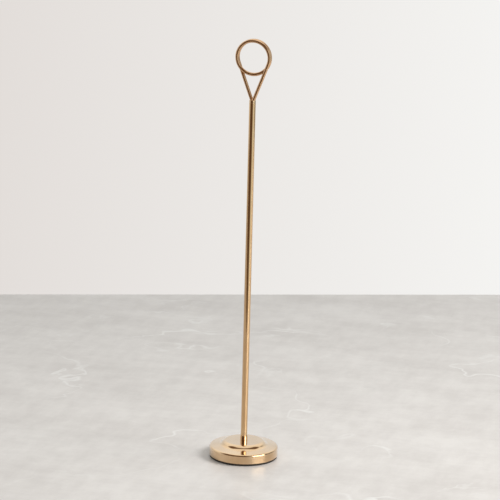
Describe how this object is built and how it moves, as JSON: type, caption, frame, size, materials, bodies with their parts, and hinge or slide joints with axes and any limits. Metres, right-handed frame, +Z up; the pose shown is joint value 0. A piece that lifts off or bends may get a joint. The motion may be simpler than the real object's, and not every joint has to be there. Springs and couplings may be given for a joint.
{
  "type": "table number holder",
  "caption": "Weighted round foot with a slim upright tube and a sprung ring clip on top that grips a table number card.",
  "frame": {"origin": "centre of the foam pad's underside, on the surface the holder stands on", "axes": "+Z up the stem; the ring of the clip faces -Y, so a card held in it faces -Y too"},
  "size_m": [0.066, 0.066, 0.4053],
  "materials": {
    "foam_pad": "matt black foam sheet",
    "gold_plate": "polished champagne gold plate",
    "cast_weight": "as cast",
    "fastener_steel": "zinc plated",
    "gold_wire": "polished champagne gold plate"
  },
  "bodies": {
    "root": {"base_pad": "foam_pad", "base_shell": "gold_plate", "base_weight": "cast_weight", "flat_washer": "fastener_steel", "lock_washer": "fastener_steel", "foot_screw": "fastener_steel", "foot_plug": "gold_plate", "stem_tube": "gold_plate", "stem_tip": "gold_plate", "clip_wire_rear": "gold_wire"},
    "clip_front": {"clip_wire_front": "gold_wire"}
  },
  "joints": [
    {"name": "clip_spread", "type": "hinge", "parent": "root", "child": "clip_front", "pos_m": [0, 0, 0.348], "axis": [1, 0, 0], "range_deg": [0, 2], "stiffness_Nm_per_rad": 0.5, "springref_deg": -1.15}
  ]
}
